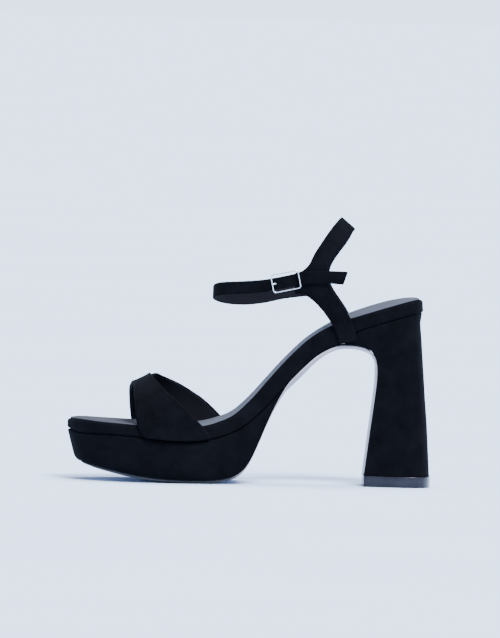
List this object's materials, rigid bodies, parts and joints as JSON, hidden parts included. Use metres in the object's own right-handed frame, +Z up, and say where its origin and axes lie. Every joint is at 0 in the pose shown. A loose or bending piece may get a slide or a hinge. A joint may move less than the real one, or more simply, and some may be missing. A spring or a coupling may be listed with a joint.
{
  "type": "platform sandal",
  "caption": "Left open-toe platform sandal: crossed vamp over the forefoot, high block heel, and an ankle strap with a buckle that holds the foot.",
  "frame": {"origin": "on the floor, under the middle of the shoe's outer box", "axes": "+Z up from the floor, +X from the toe to the heel, +Y to the inner (medial) side of the foot"},
  "size_m": [0.2238, 0.087, 0.1649],
  "materials": {
    "suede": "blue-black faux suede with a short nap",
    "insole_leather": "smooth dark grey lining leather with a slight sheen",
    "sole_leather": "smooth pale pinkish grey sole sheet",
    "lift": "glossy black heel tip",
    "buckle_metal": "polished silver-coloured plating"
  },
  "bodies": {
    "root": {"outsole": "sole_leather", "platform": "suede", "insole_board": "suede", "insole_sock": "insole_leather", "heel": "suede", "top_lift": "lift", "vamp": "suede", "heel_strap": "suede", "buckle_frame": "buckle_metal", "buckle_prong": "buckle_metal"}
  },
  "joints": []
}
